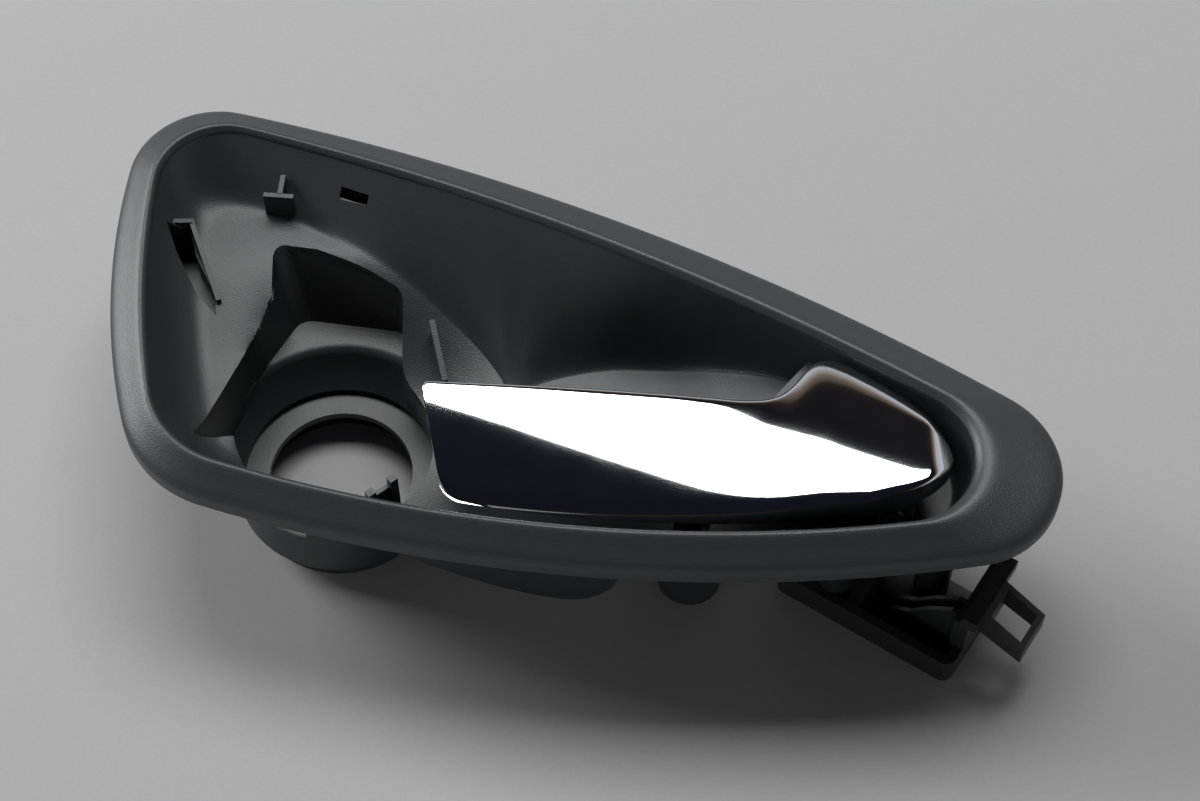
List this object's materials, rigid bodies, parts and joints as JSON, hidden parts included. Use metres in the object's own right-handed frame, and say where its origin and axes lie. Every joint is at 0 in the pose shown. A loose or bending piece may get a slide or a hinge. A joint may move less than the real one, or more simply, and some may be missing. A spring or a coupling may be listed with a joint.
{
  "type": "car interior door handle",
  "caption": "Left teardrop car interior door handle: dark bezel with finger bowl and tweeter pocket, chrome pull lever on a sprung hinge, cable bracket behind.",
  "frame": {"origin": "middle of the bounding box, at its lowest face (the back of the part, on which it lies)", "axes": "+X along the handle from the speaker pocket to the hinge tip, +Y across it, +Z out of the trim panel towards the occupant"},
  "size_m": [0.2418, 0.1465, 0.056],
  "materials": {
    "bezel_plastic": "fine-grained dark grey moulding",
    "chrome_plate": "bright chrome plating on plastic",
    "black_plastic": "black moulding",
    "pin_steel": "ground steel pin",
    "spring_steel": "drawn spring steel",
    "stop_rubber": "black rubber",
    "filled_nylon": "glass-filled black nylon",
    "screw_steel": "zinc-plated steel"
  },
  "bodies": {
    "bezel": {"housing": "bezel_plastic", "hinge_pin": "pin_steel", "pin_clip": "spring_steel", "return_spring": "spring_steel", "bump_stop": "stop_rubber", "cable_bracket": "filled_nylon", "bracket_screws": "screw_steel"},
    "lever": {"lever_shell": "chrome_plate", "lever_carrier": "black_plastic"}
  },
  "joints": [
    {"name": "lever_pull", "type": "hinge", "parent": "bezel", "child": "lever", "pos_m": [0.082, -0.035, 0.043], "axis": [0.2756, 0.9613, 0], "range_deg": [0, 35], "stiffness_Nm_per_rad": 0.25, "springref_deg": -28.65, "deforming": ["return_spring"]}
  ]
}
